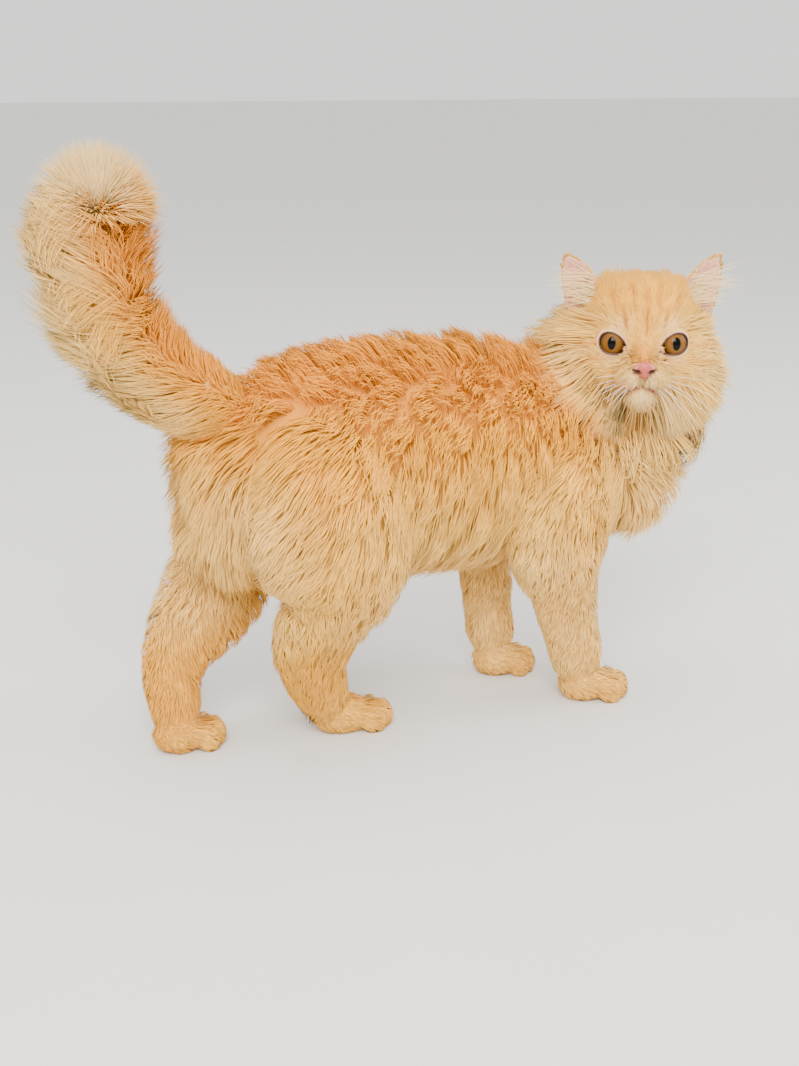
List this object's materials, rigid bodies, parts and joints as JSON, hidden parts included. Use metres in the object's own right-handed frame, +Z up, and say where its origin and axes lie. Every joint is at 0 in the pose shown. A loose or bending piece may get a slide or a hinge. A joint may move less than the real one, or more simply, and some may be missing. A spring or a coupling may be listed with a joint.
{
  "type": "persian cat",
  "caption": "Life-size still model of a long-haired cat standing on four feet, head turned back over its right shoulder, plumed tail raised.",
  "frame": {"origin": "on the floor under the middle of the whole cat, tail and head included", "axes": "+X from the rump towards the chest, +Y towards the cat's left side, +Z up"},
  "size_m": [0.5054, 0.1736, 0.4242],
  "materials": {
    "coat": "soft long fur, honey orange, matte with a slight sheen",
    "pale_coat": "soft long fur, cream, matte with a slight sheen",
    "face_coat": "short dense fur, cream orange with faint darker stripes",
    "ears": "thin pink skin inside, short cream fur outside",
    "nose_leather": "moist, finely pebbled pink skin",
    "eyes": "wet gloss over an amber iris"
  },
  "bodies": {
    "root": {"eye_left": "eyes", "eye_right": "eyes", "nose": "nose_leather", "head": "face_coat", "ear_left": "ears", "ear_right": "ears", "neck": "pale_coat", "torso": "coat", "tail_base": "pale_coat", "tail_plume": "pale_coat", "foreleg_right_upper": "coat", "foreleg_right_lower": "coat", "foreleg_right_paw": "coat", "foreleg_left_upper": "coat", "foreleg_left_lower": "coat", "foreleg_left_paw": "coat", "hindleg_right_upper": "coat", "hindleg_right_lower": "coat", "hindleg_right_paw": "coat", "hindleg_left_upper": "coat", "hindleg_left_lower": "coat", "hindleg_left_paw": "coat"}
  },
  "joints": []
}
